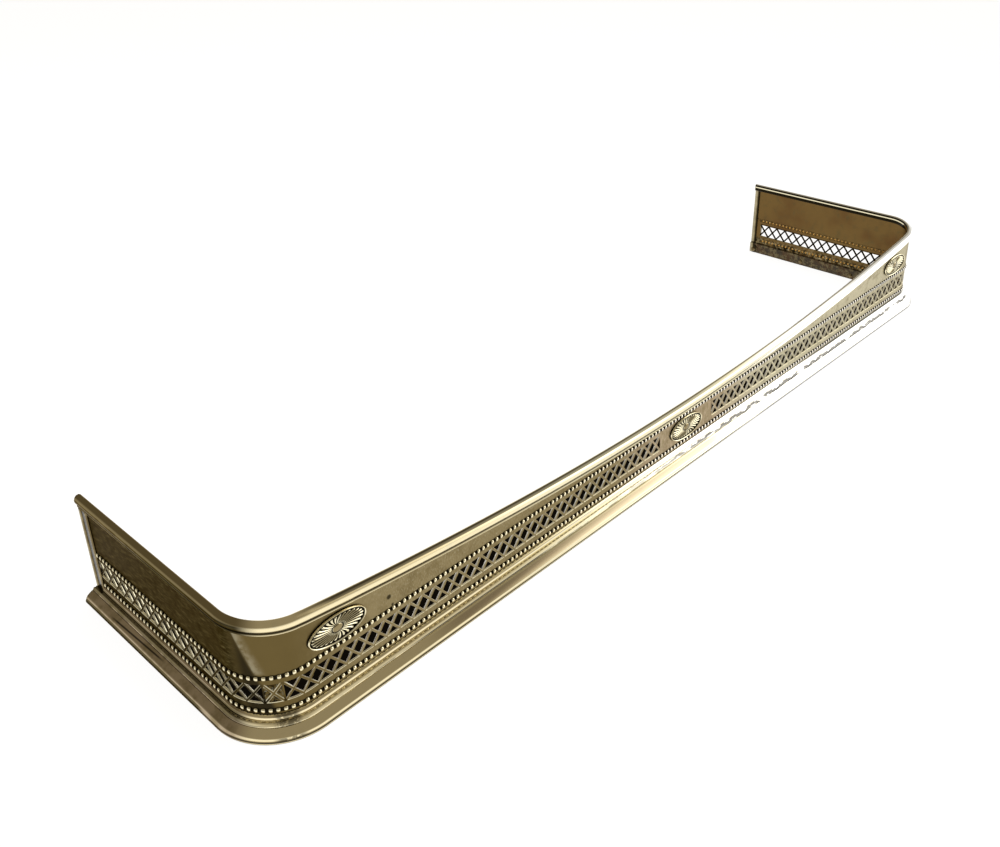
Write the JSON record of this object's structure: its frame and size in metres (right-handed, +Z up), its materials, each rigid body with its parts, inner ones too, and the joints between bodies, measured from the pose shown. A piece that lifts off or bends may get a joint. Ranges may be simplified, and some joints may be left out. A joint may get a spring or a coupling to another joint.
{
  "type": "fire fender",
  "caption": "Low three-sided brass hearth fender: pierced lattice gallery with beaded bands, dipped rolled top rail, hollow base moulding and oval medallions.",
  "frame": {"origin": "under the middle of the fender, on the hearth", "axes": "+X along the front towards the right return, the front faces -Y, the returns run back to +Y, +Z up"},
  "size_m": [1.244, 0.305, 0.12],
  "materials": {
    "gallery": "aged satin",
    "rail": "polished",
    "base": "polished",
    "medallion": "polished",
    "iron": "dull",
    "screws": "aged satin"
  },
  "bodies": {
    "root": {"gallery_panel": "gallery", "top_rail": "rail", "base_moulding": "base", "foot_bar": "iron", "left_end_post": "rail", "right_end_post": "rail", "left_medallion": "medallion", "middle_medallion": "medallion", "right_medallion": "medallion", "left_rail_cap": "rail", "right_rail_cap": "rail", "left_base_cap": "base", "right_base_cap": "base", "left_foot_screws": "screws", "front_foot_screws": "screws", "right_foot_screws": "screws", "left_foot_nuts": "screws", "front_foot_nuts": "screws", "right_foot_nuts": "screws", "left_post_screw": "screws", "right_post_screw": "screws", "left_post_nut": "screws", "right_post_nut": "screws"}
  },
  "joints": []
}
